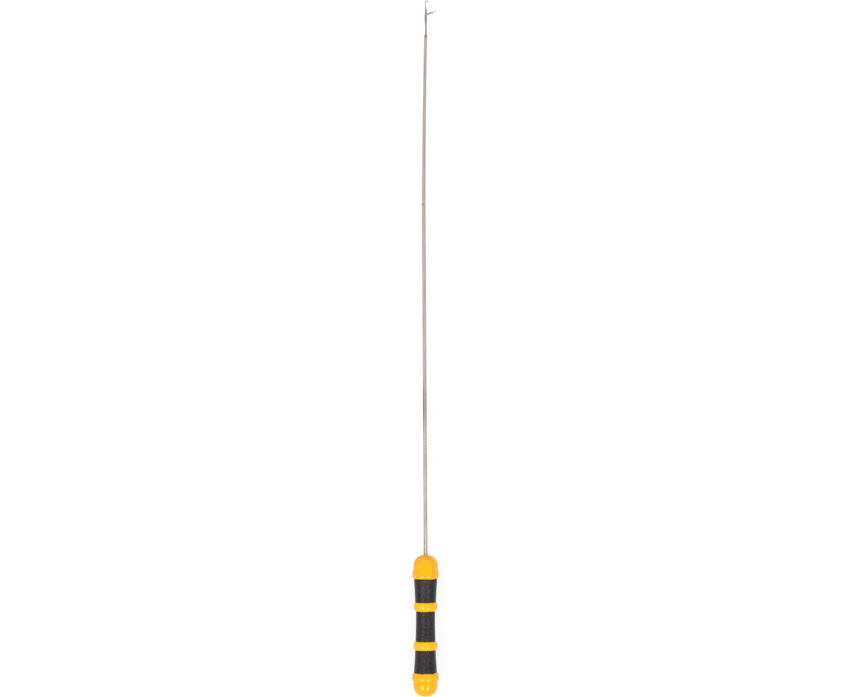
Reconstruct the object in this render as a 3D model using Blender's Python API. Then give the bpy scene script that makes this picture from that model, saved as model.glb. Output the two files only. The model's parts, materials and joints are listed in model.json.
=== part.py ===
"""Latch needle tool: a hooked needle with a swinging latch, on a thin steel tube with a banded handle.

Units are metres, +Z is up. The tool lies on a bench along X, with its hook towards +X and the butt of
its handle towards -X. The latch swings in the horizontal plane, about a rivet that stands along +Z, and
rests open towards -Y. The origin is under the middle of the whole tool, at bench level.

Two guide frames carry the pieces:
- handle_frame sits at the butt, on the handle's axis. Its X is the distance from the butt.
- needle_frame sits at the tube's mouth. Its X runs to the hook, and its -Y is the side that the latch
  opens to.
"""
import math

import bmesh
import bpy

MM = 0.001

# Whole tool
OVERALL_LENGTH = 280.0 * MM
NEEDLE_REACH = 14.90 * MM            # from the tube's mouth to the top of the hook
SEGMENTS = 20                        # sides of every turned piece but the rivet
GAP = 0.03 * MM                      # kept between pieces that touch

# Handle, as distances from the butt
END_CAP_END = 9.5 * MM
REAR_GRIP_END = 18.5 * MM
REAR_RING_END = 22.2 * MM
MIDDLE_GRIP_END = 34.1 * MM
FRONT_RING_END = 37.9 * MM
FRONT_GRIP_END = 47.2 * MM
HANDLE_LENGTH = 57.1 * MM

BUTT_FLAT_RADIUS = 1.2 * MM
DOME_LENGTH = 3.9 * MM
END_BARREL_RADIUS = 4.68 * MM
END_FLANGE_RADIUS = 5.40 * MM
FRONT_BARREL_RADIUS = 4.84 * MM
FRONT_FLANGE_RADIUS = 5.335 * MM
REAR_RING_RADIUS = 4.80 * MM
FRONT_RING_RADIUS = 4.69 * MM
REAR_GRIP_WAIST = 4.16 * MM
REAR_GRIP_SHOULDER = 4.68 * MM
MIDDLE_GRIP_WAIST = 3.83 * MM
MIDDLE_GRIP_SHOULDER = 4.03 * MM
FRONT_GRIP_WAIST = 4.22 * MM
FRONT_GRIP_SHOULDER = 4.70 * MM
CORE_RADIUS = 2.60 * MM
CORE_START = 3.4 * MM
CORE_END = 54.0 * MM

# Steel tube
TUBE_START = 8.0 * MM                # its anchored end, inside the handle
TUBE_RADIUS = 0.74 * MM
TUBE_MOUTH_RADIUS = 0.63 * MM
TUBE_BORE_RADIUS = 0.39 * MM
TAPER_START = 205.0 * MM
TAPER_END = 245.0 * MM
BEND_AT = 198.0 * MM                 # the tube is very slightly bent here
BEND_OFFSET = 0.95 * MM              # how far the bend stands off the handle's axis, towards +Y
MOUTH_OFFSET = 0.27 * MM             # the same at the mouth
MOUTH_AT = OVERALL_LENGTH - NEEDLE_REACH

# Needle, in needle_frame
STEM_RADIUS = 0.35 * MM
STEM_INSERT = 6.0 * MM               # length of stem inside the tube
STEM_LEAN = -0.045                   # the stem leaves the tube with this slope, towards -Y
CHEEK_HALF_THICKNESS = 0.31 * MM
WIRE_RADIUS = 0.17 * MM
HOOK_RADIUS = 0.47 * MM              # centreline radius of the bend
SHANK_Y = 0.09 * MM
BEAK_LENGTH = 0.78 * MM
BEAK_SPLAY = math.radians(18.0)
BRAZE_LENGTH = 1.2 * MM

# Latch, in its own frame, which has its origin on the rivet's axis
PIVOT_X = 9.18 * MM
PIVOT_Y = -0.25 * MM
LATCH_LENGTH = 4.45 * MM
LATCH_BOW = 0.11 * MM                # its middle stands off the line from eye to tip, away from the hook
LATCH_REST_ANGLE = math.radians(-70.3)
LATCH_EYE_RADIUS = 0.34 * MM
LATCH_HALF_THICKNESS = 0.10 * MM
SLOT_HALF_WIDTH = 0.14 * MM
SLOT_START = 5.9 * MM
SLOT_END = 11.6 * MM
RIVET_RADIUS = 0.11 * MM
RIVET_HOLE_RADIUS = 0.13 * MM
RIVET_HEAD_RADIUS = 0.21 * MM
RIVET_HEAD_HEIGHT = 0.06 * MM

AXIS_HEIGHT = END_FLANGE_RADIUS      # the end flange lies on the bench


def clear_scene():
    """Remove every object that the scene starts with."""
    for thing in list(bpy.data.objects):
        bpy.data.objects.remove(thing, do_unlink=True)


def linear(channel):
    """sRGB channel, 0 to 1, as linear light."""
    return channel / 12.92 if channel <= 0.04045 else ((channel + 0.055) / 1.055) ** 2.4


def new_material(name, colour, roughness, metallic=0.0):
    """A Principled material from an sRGB colour written as a hex string."""
    material = bpy.data.materials.new(name)
    material.use_nodes = True
    shader = material.node_tree.nodes["Principled BSDF"]
    red, green, blue = (linear(int(colour[i:i + 2], 16) / 255.0) for i in (0, 2, 4))
    shader.inputs["Base Color"].default_value = (red, green, blue, 1.0)
    shader.inputs["Roughness"].default_value = roughness
    shader.inputs["Metallic"].default_value = metallic
    return material


def guide_frame(name, location, angle=0.0, parent=None):
    """An empty that carries pieces, turned about Z."""
    empty = bpy.data.objects.new(name, None)
    empty.location = location
    empty.rotation_euler = (0.0, 0.0, angle)
    empty.parent = parent
    bpy.context.scene.collection.objects.link(empty)
    return empty


def new_object(name, mesh_builder, material, parent):
    """Turn a bmesh into a smooth-shaded object under its guide frame."""
    bmesh.ops.recalc_face_normals(mesh_builder, faces=mesh_builder.faces)
    mesh = bpy.data.meshes.new(name)
    mesh_builder.to_mesh(mesh)
    mesh_builder.free()
    mesh.shade_smooth()
    mesh.set_sharp_from_angle(angle=math.radians(35.0))
    mesh.materials.append(material)
    thing = bpy.data.objects.new(name, mesh)
    thing.parent = parent
    bpy.context.scene.collection.objects.link(thing)
    return thing


def bridge(builder, ring_a, ring_b):
    """Faces between two rings; a ring of one point is a pole."""
    count = max(len(ring_a), len(ring_b))
    for i in range(count):
        j = (i + 1) % count
        if len(ring_a) == 1:
            builder.faces.new((ring_a[0], ring_b[j], ring_b[i]))
        elif len(ring_b) == 1:
            builder.faces.new((ring_a[i], ring_a[j], ring_b[0]))
        else:
            builder.faces.new((ring_a[i], ring_a[j], ring_b[j], ring_b[i]))


def turned(profile, segments, closed):
    """Turn (x, radius) points about the X axis.

    The flats between the sides' corners touch the true circle, and one of them faces down. A closed profile
    comes back to its first point and makes a ring; an open one starts and ends on the axis.
    """
    corner = 1.0 / math.cos(math.pi / segments)
    builder = bmesh.new()
    rings = []
    for x, radius in profile:
        if radius == 0.0:
            rings.append([builder.verts.new((x, 0.0, 0.0))])
            continue
        ring = []
        for i in range(segments):
            angle = 2.0 * math.pi * (i + 0.5) / segments
            reach = radius * corner
            ring.append(builder.verts.new((x, reach * math.cos(angle), reach * math.sin(angle))))
        rings.append(ring)
    for ring_a, ring_b in zip(rings, rings[1:]):
        bridge(builder, ring_a, ring_b)
    if closed:
        bridge(builder, rings[-1], rings[0])
    return builder


def arc(centre_x, centre_r, half_length, height, start, end, steps):
    """Points on an ellipse's arc, from start to end degrees; 0 points along +X and 90 points outwards."""
    points = []
    for i in range(steps + 1):
        angle = math.radians(start + (end - start) * i / steps)
        points.append((centre_x + half_length * math.cos(angle), centre_r + height * math.sin(angle)))
    return points


def waisted(waist_x, shoulder_x, waist_radius, shoulder_radius, power, steps):
    """A grip's outline: flat at its waist, and flaring as a power of the distance to its shoulder."""
    points = []
    for i in range(steps + 1):
        share = i / steps
        radius = waist_radius + (shoulder_radius - waist_radius) * share ** power
        points.append((waist_x + (shoulder_x - waist_x) * share, radius))
    return points


def sleeve(outline, bore_radius):
    """Close an outline that runs along the outside with a straight bore."""
    return outline + [(outline[-1][0], bore_radius), (outline[0][0], bore_radius)]


# ---------------------------------------------------------------- handle

def make_handle_core(material, frame):
    """The hard rod that the caps, rings and grips sit on, bored for the tube and closed at its butt end."""
    bore = TUBE_RADIUS + GAP
    profile = [(CORE_START, 0.0), (CORE_START, CORE_RADIUS), (CORE_END, CORE_RADIUS), (CORE_END, bore),
               (TUBE_START - GAP, bore), (TUBE_START - GAP, 0.0)]
    new_object("handle_core", turned(profile, SEGMENTS, closed=False), material, frame)


def make_end_cap(material, frame):
    """Domed cap at the butt, with a small flat, a plain barrel, a rounded flange and a blind socket."""
    socket = CORE_RADIUS + GAP
    flat_angle = math.degrees(math.asin(BUTT_FLAT_RADIUS / END_BARREL_RADIUS))
    dome_centre = DOME_LENGTH * math.cos(math.radians(flat_angle))
    flange_centre = 7.95 * MM
    flange_base = 4.72 * MM
    profile = [(0.0, 0.0)]
    profile += arc(dome_centre, 0.0, DOME_LENGTH, END_BARREL_RADIUS, 180.0 - flat_angle, 90.0, 6)
    profile += [(5.9 * MM, END_BARREL_RADIUS - 0.04 * MM)]
    profile += arc(flange_centre, flange_base, 1.5 * MM, END_FLANGE_RADIUS - flange_base, 159.0, 0.0, 8)
    profile += [(END_CAP_END, flange_base), (END_CAP_END, socket)]
    profile += [(CORE_START - GAP, socket), (CORE_START - GAP, 0.0)]
    new_object("end_cap", turned(profile, SEGMENTS, closed=False), material, frame)


def make_front_cap(material, frame):
    """Domed cap at the tube's end of the handle, open for the core behind and for the tube in front."""
    socket = CORE_RADIUS + GAP
    tube_hole = TUBE_RADIUS + GAP
    flange_centre = 49.35 * MM
    flange_base = 4.60 * MM
    dome_centre = HANDLE_LENGTH - DOME_LENGTH
    hole_angle = math.degrees(math.asin(tube_hole / FRONT_BARREL_RADIUS))
    profile = [(FRONT_GRIP_END + GAP, flange_base)]
    profile += arc(flange_centre, flange_base, 1.8 * MM, FRONT_FLANGE_RADIUS - flange_base, 175.0, 90.0, 5)
    profile += arc(flange_centre, FRONT_BARREL_RADIUS, 1.35 * MM, FRONT_FLANGE_RADIUS - FRONT_BARREL_RADIUS,
                   72.0, 0.0, 4)
    profile += arc(dome_centre, 0.0, DOME_LENGTH, FRONT_BARREL_RADIUS, 90.0, hole_angle, 8)
    profile += [(CORE_END + GAP, tube_hole), (CORE_END + GAP, socket), (FRONT_GRIP_END + GAP, socket)]
    new_object("front_cap", turned(profile, SEGMENTS, closed=True), material, frame)


def make_ring(name, start, end, crown_x, crown_radius, rear_radius, front_radius, material, frame):
    """A rounded band between two grips: a short lip behind, then a bead that ends at the grip in front."""
    lip = 0.7 * MM
    rear_half = crown_x - start - lip
    front_half = end - GAP - crown_x
    outline = [(start + GAP, rear_radius)]
    outline += arc(crown_x, rear_radius, rear_half, crown_radius - rear_radius, 176.0, 90.0, 5)
    outline += arc(crown_x, front_radius, front_half, crown_radius - front_radius, 72.0, 0.0, 4)
    builder = turned(sleeve(outline, CORE_RADIUS + GAP), SEGMENTS, closed=True)
    new_object(name, builder, material, frame)


def make_grip(name, outline, material, frame):
    """A soft sleeve between two hard bands."""
    builder = turned(sleeve(outline, CORE_RADIUS + GAP), SEGMENTS, closed=True)
    new_object(name, builder, material, frame)


def make_grips(material, frame):
    """The three soft sleeves; the outer two flare towards their caps, the middle one towards the rear ring."""
    make_grip("rear_grip", waisted(REAR_GRIP_END, END_CAP_END + GAP, REAR_GRIP_WAIST, REAR_GRIP_SHOULDER,
                                   1.5, 6), material, frame)
    make_grip("middle_grip", waisted(MIDDLE_GRIP_END, REAR_RING_END, MIDDLE_GRIP_WAIST,
                                     MIDDLE_GRIP_SHOULDER, 3.0, 6), material, frame)
    make_grip("front_grip", waisted(FRONT_RING_END, FRONT_GRIP_END, FRONT_GRIP_WAIST,
                                    FRONT_GRIP_SHOULDER, 1.5, 6), material, frame)


# ---------------------------------------------------------------- tube and needle

def tube_offset(x):
    """How far the tube's centre stands off the handle's axis, towards +Y, at a distance from the butt."""
    if x <= HANDLE_LENGTH:
        return 0.0
    if x <= BEND_AT:
        return BEND_OFFSET * (x - HANDLE_LENGTH) / (BEND_AT - HANDLE_LENGTH)
    share = (x - BEND_AT) / (MOUTH_AT - BEND_AT)
    return BEND_OFFSET - (BEND_OFFSET - MOUTH_OFFSET) * share ** 2


def stem_offset(x):
    """The stem's centre, towards +Y: it follows the tube inside the mouth and leans a little more outside."""
    if x < 0.0:
        return tube_offset(MOUTH_AT + x) - MOUTH_OFFSET
    return STEM_LEAN * x


def tube_radius(x):
    """The tube tapers a little before its mouth."""
    share = min(max((x - TAPER_START) / (TAPER_END - TAPER_START), 0.0), 1.0)
    return TUBE_RADIUS + (TUBE_MOUTH_RADIUS - TUBE_RADIUS) * share


def make_shaft_tube(material, frame):
    """The steel tube, open at both ends, turned straight and then set off along its slight bend."""
    stations = [TUBE_START, HANDLE_LENGTH]
    stations += [HANDLE_LENGTH + (BEND_AT - HANDLE_LENGTH) * i / 6.0 for i in range(1, 7)]
    stations += [BEND_AT + (MOUTH_AT - BEND_AT) * i / 10.0 for i in range(1, 11)]
    outer = [(x, tube_radius(x)) for x in stations]
    inner = [(x, TUBE_BORE_RADIUS) for x in reversed(stations)]
    builder = turned(outer + inner, SEGMENTS, closed=True)
    for vertex in builder.verts:
        vertex.co.y += tube_offset(vertex.co.x)
    new_object("shaft_tube", builder, material, frame)


def lofted(stations, sides):
    """Skin cross-sections set along a path in the XY plane.

    A station is (x, y, heading, half_width, half_thickness, squareness): the section stands across the
    heading, and squareness 2 is an ellipse while larger values square its corners.
    """
    builder = bmesh.new()
    rings = []
    for x, y, heading, half_width, half_thickness, squareness in stations:
        ring = []
        for i in range(sides):
            angle = 2.0 * math.pi * (i + 0.5) / sides
            across = math.copysign(abs(math.cos(angle)) ** (2.0 / squareness), math.cos(angle)) * half_width
            up = math.copysign(abs(math.sin(angle)) ** (2.0 / squareness), math.sin(angle)) * half_thickness
            ring.append(builder.verts.new((x - across * math.sin(heading), y + across * math.cos(heading), up)))
        rings.append(ring)
    for ring_a, ring_b in zip(rings, rings[1:]):
        bridge(builder, ring_a, ring_b)
    builder.faces.new(list(reversed(rings[0])))
    builder.faces.new(rings[-1])
    return builder


def edge_station(x, left, right, half_thickness, squareness):
    """A straight stretch's station, from its left and right edges."""
    return (x, (left + right) / 2.0, 0.0, (left - right) / 2.0, half_thickness, squareness)


def needle_stations():
    """The needle from its tail inside the tube, along the stem and cheeks, and round the hook to its beak."""
    cheek = CHEEK_HALF_THICKNESS
    stations = [(x, stem_offset(x), 0.0, STEM_RADIUS, STEM_RADIUS, 2.0)
                for x in (-STEM_INSERT, -0.5 * STEM_INSERT, 0.0, 3.4 * MM)]
    stations += [
        edge_station(4.6 * MM, 0.23 * MM, -0.49 * MM, STEM_RADIUS, 2.0),
        edge_station(5.8 * MM, 0.35 * MM, -0.53 * MM, cheek, 3.0),
        edge_station(6.8 * MM, 0.44 * MM, -0.56 * MM, cheek, 4.0),
        edge_station(8.0 * MM, 0.42 * MM, -0.58 * MM, cheek, 4.0),
        edge_station(8.9 * MM, 0.37 * MM, -0.66 * MM, cheek, 4.0),
        edge_station(9.6 * MM, 0.34 * MM, -0.66 * MM, cheek, 4.0),
        edge_station(10.5 * MM, 0.32 * MM, -0.43 * MM, cheek, 4.0),
        edge_station(11.5 * MM, 0.30 * MM, -0.30 * MM, 0.29 * MM, 3.5),
        edge_station(12.3 * MM, 0.29 * MM, -0.18 * MM, 0.24 * MM, 2.5),
        edge_station(13.1 * MM, SHANK_Y + WIRE_RADIUS, SHANK_Y - WIRE_RADIUS, WIRE_RADIUS, 2.0),
    ]
    centre_x = NEEDLE_REACH - WIRE_RADIUS - HOOK_RADIUS
    centre_y = SHANK_Y - HOOK_RADIUS
    turn = math.pi - BEAK_SPLAY
    for i in range(9):
        angle = turn * i / 8.0
        stations.append((centre_x + HOOK_RADIUS * math.sin(angle), centre_y + HOOK_RADIUS * math.cos(angle),
                         -angle, WIRE_RADIUS, WIRE_RADIUS, 2.0))
    bend_x, bend_y = stations[-1][0], stations[-1][1]
    for share, slimness in ((0.5, 0.94), (0.85, 0.76), (1.0, 0.35)):
        length = BEAK_LENGTH * share
        stations.append((bend_x + length * math.cos(turn), bend_y - length * math.sin(turn), -turn,
                         slimness * WIRE_RADIUS, slimness * WIRE_RADIUS, 2.0))
    return stations


def cutter(name, builder, parent, location=(0.0, 0.0, 0.0)):
    """A hidden shape that a Boolean takes away."""
    mesh = bpy.data.meshes.new(name)
    bmesh.ops.recalc_face_normals(builder, faces=builder.faces)
    builder.to_mesh(mesh)
    builder.free()
    thing = bpy.data.objects.new(name, mesh)
    thing.parent = parent
    thing.location = location
    thing.hide_render = True
    thing.display_type = "WIRE"
    bpy.context.scene.collection.objects.link(thing)
    return thing


def subtract(thing, tool):
    """Cut one object with another."""
    modifier = thing.modifiers.new("cut_" + tool.name, "BOOLEAN")
    modifier.operation = "DIFFERENCE"
    modifier.solver = "EXACT"
    modifier.object = tool


def box_cutter(name, low, high, parent):
    """A box cutter from its two corners."""
    builder = bmesh.new()
    bmesh.ops.create_cube(builder, size=1.0)
    for vertex in builder.verts:
        for axis in range(3):
            middle = (low[axis] + high[axis]) / 2.0
            vertex.co[axis] = middle + vertex.co[axis] * (high[axis] - low[axis])
    return cutter(name, builder, parent)


def pin_cutter(name, radius, half_height, parent, location):
    """A round cutter that stands along Z."""
    builder = bmesh.new()
    bmesh.ops.create_cone(builder, cap_ends=True, segments=16, radius1=radius, radius2=radius,
                          depth=2.0 * half_height)
    return cutter(name, builder, parent, location)


def make_needle_blade(material, frame):
    """Stem, slotted cheeks and hook in one piece, with the rivet's hole through both cheeks."""
    blade = new_object("needle_blade", lofted(needle_stations(), 12), material, frame)
    slot = box_cutter("slot_cutter", (SLOT_START, -1.5 * MM, -SLOT_HALF_WIDTH),
                      (SLOT_END, 1.5 * MM, SLOT_HALF_WIDTH), frame)
    hole = pin_cutter("cheek_hole_cutter", RIVET_HOLE_RADIUS, 1.0 * MM, frame, (PIVOT_X, PIVOT_Y, 0.0))
    subtract(blade, slot)
    subtract(blade, hole)


def latch_stations():
    """The latch from the back of its round eye, along the arm, to the spoon that covers the beak."""
    outline = []
    for i in range(1, 6):
        angle = math.pi * (1.0 - i / 8.0)
        outline.append((LATCH_EYE_RADIUS * math.cos(angle) / LATCH_LENGTH, LATCH_EYE_RADIUS * math.sin(angle),
                        LATCH_HALF_THICKNESS, 6.0))
    for share, half_width, half_thickness, squareness in (
            (0.22, 0.31, 0.10, 6.0), (0.33, 0.33, 0.10, 6.0), (0.42, 0.30, 0.10, 5.0),
            (0.52, 0.24, 0.10, 4.0), (0.61, 0.19, 0.12, 3.0), (0.70, 0.17, 0.16, 2.5),
            (0.80, 0.18, 0.24, 2.5), (0.90, 0.14, 0.24, 2.5), (0.97, 0.09, 0.16, 2.2),
            (1.00, 0.04, 0.08, 2.0)):
        outline.append((share, half_width * MM, half_thickness * MM, squareness))
    stations = []
    for share, half_width, half_thickness, squareness in outline:
        bow = -4.0 * LATCH_BOW * share * (1.0 - share) if share > 0.0 else 0.0
        stations.append((LATCH_LENGTH * share, bow, 0.0, half_width, half_thickness, squareness))
    return stations


def make_latch(material, frame):
    """The swinging latch, on a guide frame at the rivet that is turned to its rest angle."""
    latch_frame = guide_frame("latch_frame", (PIVOT_X, PIVOT_Y, 0.0), LATCH_REST_ANGLE, frame)
    latch = new_object("latch", lofted(latch_stations(), 12), material, latch_frame)
    hole = pin_cutter("latch_hole_cutter", RIVET_HOLE_RADIUS, 1.0 * MM, latch_frame, (0.0, 0.0, 0.0))
    subtract(latch, hole)


def make_latch_rivet(material, frame):
    """The rivet through the cheeks and the latch's eye, with a low head on each side."""
    shoulder = CHEEK_HALF_THICKNESS + GAP
    top = shoulder + RIVET_HEAD_HEIGHT
    half = [(top, 0.0), (top, 0.55 * RIVET_HEAD_RADIUS), (shoulder + 0.4 * RIVET_HEAD_HEIGHT, RIVET_HEAD_RADIUS),
            (shoulder, RIVET_HEAD_RADIUS), (shoulder, RIVET_RADIUS)]
    profile = half + [(-x, radius) for x, radius in reversed(half)]
    rivet = new_object("latch_rivet", turned(profile, 16, closed=False), material, frame)
    rivet.location = (PIVOT_X, PIVOT_Y, 0.0)
    rivet.rotation_euler = (0.0, -math.pi / 2.0, 0.0)


def make_braze_collar(material, frame):
    """The cone of brazing metal that seals the stem into the tube's mouth."""
    bore = STEM_RADIUS + GAP
    outline = [(GAP, TUBE_MOUTH_RADIUS), (0.3 * BRAZE_LENGTH, 0.59 * MM), (0.6 * BRAZE_LENGTH, 0.48 * MM),
               (BRAZE_LENGTH, bore + GAP)]
    builder = turned(sleeve(outline, bore), SEGMENTS, closed=True)
    for vertex in builder.verts:
        vertex.co.y += stem_offset(vertex.co.x)
    new_object("braze_collar", builder, material, frame)


def make_tool():
    """Build every piece of the tool."""
    clear_scene()
    yellow = new_material("yellow_gloss_plastic", "FFC309", 0.18)
    black = new_material("black_soft_rubber", "46423F", 0.62)
    core = new_material("core_hard_plastic", "2B2B2D", 0.5)
    steel = new_material("drawn_steel", "C5B8B0", 0.34, 1.0)
    needle_steel = new_material("needle_steel", "C9C6C4", 0.25, 1.0)
    braze = new_material("braze_metal", "8A6B4F", 0.4, 1.0)

    handle_frame = guide_frame("handle_frame", (-OVERALL_LENGTH / 2.0, 0.0, AXIS_HEIGHT))
    make_handle_core(core, handle_frame)
    make_end_cap(yellow, handle_frame)
    make_front_cap(yellow, handle_frame)
    make_ring("rear_ring", REAR_GRIP_END, REAR_RING_END, 20.7 * MM, REAR_RING_RADIUS,
              4.12 * MM, 4.12 * MM, yellow, handle_frame)
    make_ring("front_ring", MIDDLE_GRIP_END, FRONT_RING_END, 36.6 * MM, FRONT_RING_RADIUS,
              3.85 * MM, 4.24 * MM, yellow, handle_frame)
    make_grips(black, handle_frame)
    make_shaft_tube(steel, handle_frame)

    needle_frame = guide_frame("needle_frame", (MOUTH_AT, MOUTH_OFFSET, 0.0), parent=handle_frame)
    make_needle_blade(needle_steel, needle_frame)
    make_latch(needle_steel, needle_frame)
    make_latch_rivet(needle_steel, needle_frame)
    make_braze_collar(braze, needle_frame)


make_tool()
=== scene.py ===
"""Looks for a latch needle tool: yellow and black banded handle, thin steel tube, hooked needle and latch.

Metres, +Z up. The tool lies on the floor along X with its hook towards +X, and its latch opens towards -Y.
"Across" angles run from straight up, 0, towards -Y, so a positive angle is on the latch's side.
"""
import json
import math

import bpy
import numpy as np
from mathutils import Matrix, Vector


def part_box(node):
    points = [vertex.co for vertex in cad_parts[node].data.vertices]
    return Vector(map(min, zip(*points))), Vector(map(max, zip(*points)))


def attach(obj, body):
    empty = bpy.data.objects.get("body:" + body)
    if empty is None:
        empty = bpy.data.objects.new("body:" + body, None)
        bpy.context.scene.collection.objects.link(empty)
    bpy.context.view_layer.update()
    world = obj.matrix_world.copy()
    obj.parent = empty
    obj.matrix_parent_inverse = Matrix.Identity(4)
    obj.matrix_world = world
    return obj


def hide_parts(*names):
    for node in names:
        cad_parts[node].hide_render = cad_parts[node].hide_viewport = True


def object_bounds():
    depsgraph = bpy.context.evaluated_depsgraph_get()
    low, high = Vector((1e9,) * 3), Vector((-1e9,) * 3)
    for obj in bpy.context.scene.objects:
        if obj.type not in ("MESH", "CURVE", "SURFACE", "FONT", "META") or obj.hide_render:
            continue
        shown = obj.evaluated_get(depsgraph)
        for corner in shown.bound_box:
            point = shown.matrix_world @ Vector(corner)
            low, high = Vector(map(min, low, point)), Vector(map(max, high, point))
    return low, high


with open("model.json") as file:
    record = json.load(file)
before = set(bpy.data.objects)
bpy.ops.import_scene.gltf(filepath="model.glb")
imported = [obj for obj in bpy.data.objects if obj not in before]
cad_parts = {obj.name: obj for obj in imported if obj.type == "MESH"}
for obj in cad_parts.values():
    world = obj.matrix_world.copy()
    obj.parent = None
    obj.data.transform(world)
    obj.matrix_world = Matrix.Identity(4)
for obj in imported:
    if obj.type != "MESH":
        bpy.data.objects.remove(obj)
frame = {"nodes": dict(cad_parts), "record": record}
CAD_LOW, CAD_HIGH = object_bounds()

MM = 0.001
BUTT_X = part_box("end_cap")[0].x
AXIS_Z = (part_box("end_cap")[0].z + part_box("end_cap")[1].z) / 2.0
MOUTH_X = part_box("shaft_tube")[1].x
HOOK_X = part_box("needle_blade")[1].x
HANDLE_END_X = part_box("front_cap")[1].x
PIVOT = frame["record"]["behaviour"]["joints"][0]["pos_m"]

# Shared sizes of the handle's pieces, in millimetres, and the parting line's angle
BORE_MM = 2.63                  # the hole that the core passes through
TUBE_HOLE_MM = 0.77             # the hole in the front cap
PARTING_ANGLE = math.radians(54.0)   # where the two halves of the mould met
PARTING_HALF_WIDTH = 0.04       # of the line of flash, in radians
SEAM_FADE_MM = 0.45             # a seam's wander dies away over this distance

# The steel tube and the needle: _MM are millimetres, and the leans and angles say what they are
BEND_FROM_BUTT_MM = 198.0
BEND_OFFSET_MM = 0.95
MOUTH_OFFSET_MM = 0.27
TUBE_RADIUS_MM = 0.76
TUBE_MOUTH_RADIUS_MM = 0.62
TUBE_BORE_MM = 0.39
TAPER_MM = (195.0, 252.0)       # from the butt: the tube slims to its mouth's radius between these
STEM_RADIUS_MM = 0.35
STEM_LEAN = -0.032              # slope towards +Y along the stem
WIRE_RADIUS_MM = 0.18
HOOK_RADIUS_MM = 0.47
SHANK_Y_MM = 0.09
BEAK_MM = 0.78
BEAK_SPLAY = math.radians(18.0)
CHEEK_MM = 0.31                 # half the thickness through both cheeks
SLOT_MM = (5.9, 11.6)           # from the tube's mouth
SLOT_HALF_MM = 0.14
LATCH_MM = 4.45
LATCH_BOW_MM = 0.15
LATCH_REST = math.radians(-69.3)
RIVET_HOLE_MM = 0.13
GROOVE_DEPTH_MM = 0.10          # of the nick at the bend
BURR_HEIGHT_MM = 0.035

# Places along X, in metres, as a centre and a half width
# The first place is dull from handling; the second, by the handle, is painted shade
DULL_AND_SHADED_PLACES = ((-0.024, 0.020), (-0.081, 0.038))
WIPED_PLACE = (-0.047, 0.009)

# The part of a noise pattern's range that is spread over a material's roughness
NOISE_LOW = 0.3
NOISE_HIGH = 0.7


# ------------------------------------------------------------------ meshes

def mesh_piece(name, vertices, faces, material, sharp_degrees=40.0):
    """An object from a vertex array and a list of face arrays; the faces are turned if they point inwards."""
    vertices = np.asarray(vertices, float)
    polygons = [polygon for group in faces for polygon in np.asarray(group).tolist()]
    volume = 0.0
    for group in faces:
        corners = vertices[np.asarray(group)]
        for k in range(1, corners.shape[1] - 1):
            volume += np.einsum("ij,ij->", corners[:, 0], np.cross(corners[:, k], corners[:, k + 1]))
    if volume < 0.0:
        polygons = [polygon[::-1] for polygon in polygons]
    mesh = bpy.data.meshes.new(name)
    mesh.from_pydata(vertices.tolist(), [], polygons)
    mesh.shade_smooth()
    mesh.set_sharp_from_angle(angle=math.radians(sharp_degrees))
    mesh.materials.append(material)
    piece = bpy.data.objects.new(name, mesh)
    bpy.context.scene.collection.objects.link(piece)
    return piece


def skin(name, grid, material, ring=False, sharp_degrees=40.0):
    """A closed surface from a grid of points whose columns run round it.

    The rows either come back to the first row, as a ring's do, or both ends are closed with a fan of
    triangles about the end row's middle.
    """
    rows, columns, _ = grid.shape
    index = np.arange(rows * columns).reshape(rows, columns)
    upper = np.vstack([index[1:], index[:1]]) if ring else index[1:]
    lower = index if ring else index[:-1]
    quads = np.stack([lower, np.roll(lower, -1, axis=1), np.roll(upper, -1, axis=1), upper], axis=-1)
    faces = [quads.reshape(-1, 4)]
    vertices = grid.reshape(-1, 3)
    if not ring:
        middles = np.array([grid[0].mean(axis=0), grid[-1].mean(axis=0)])
        vertices = np.vstack([vertices, middles])
        first = np.full(columns, rows * columns)
        faces.append(np.stack([first, np.roll(index[0], -1), index[0]], axis=-1))
        faces.append(np.stack([first + 1, index[-1], np.roll(index[-1], -1)], axis=-1))
    return mesh_piece(name, vertices, faces, material, sharp_degrees)


def mark(piece, name, values):
    """Store one number for each vertex of a piece, for its material to read."""
    attribute = piece.data.attributes.new(name, "FLOAT", "POINT")
    attribute.data.foreach_set("value", np.asarray(values, np.float32).ravel())


def arc(centre_x, centre_r, half_length, height, start, end, steps, squareness=2.0):
    """Points of a superellipse's arc, with a from start to end degrees and n the squareness:
    centre plus (half_length cos(a)^(2/n), height sin(a)^(2/n)), each power keeping its sign."""
    angle = np.radians(np.linspace(start, end, steps))
    power = 2.0 / squareness
    across = np.sign(np.cos(angle)) * np.abs(np.cos(angle)) ** power
    up = np.abs(np.sin(angle)) ** power
    return np.stack([centre_x + half_length * across, centre_r + height * up], axis=-1)


def softened(points, spacing, blur):
    """An outline resampled evenly and averaged over its neighbours, which rounds corners as a mould's are.

    Each new point is the mean of the outline around it, weighted by a bell of the given width; the ends are
    kept in place by reflecting the outline through them.
    """
    points = np.vstack(points)
    steps = np.hypot(*np.diff(points, axis=0).T)
    points = points[np.concatenate([[True], steps > 1e-9])]
    travelled = np.concatenate([[0.0], np.cumsum(np.hypot(*np.diff(points, axis=0).T))])
    count = max(int(travelled[-1] / spacing), 8)
    even = np.linspace(0.0, travelled[-1], count)
    path = np.stack([np.interp(even, travelled, points[:, k]) for k in (0, 1)], axis=-1)
    reach = max(int(3.0 * blur / spacing), 1)
    bell = np.exp(-0.5 * (np.arange(-reach, reach + 1) * spacing / blur) ** 2)
    bell /= bell.sum()
    before = 2.0 * path[0] - path[reach:0:-1]
    after = 2.0 * path[-1] - path[-2:-reach - 2:-1]
    padded = np.vstack([before, path, after])
    return np.stack([np.convolve(padded[:, k], bell, mode="valid") for k in (0, 1)], axis=-1)


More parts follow.
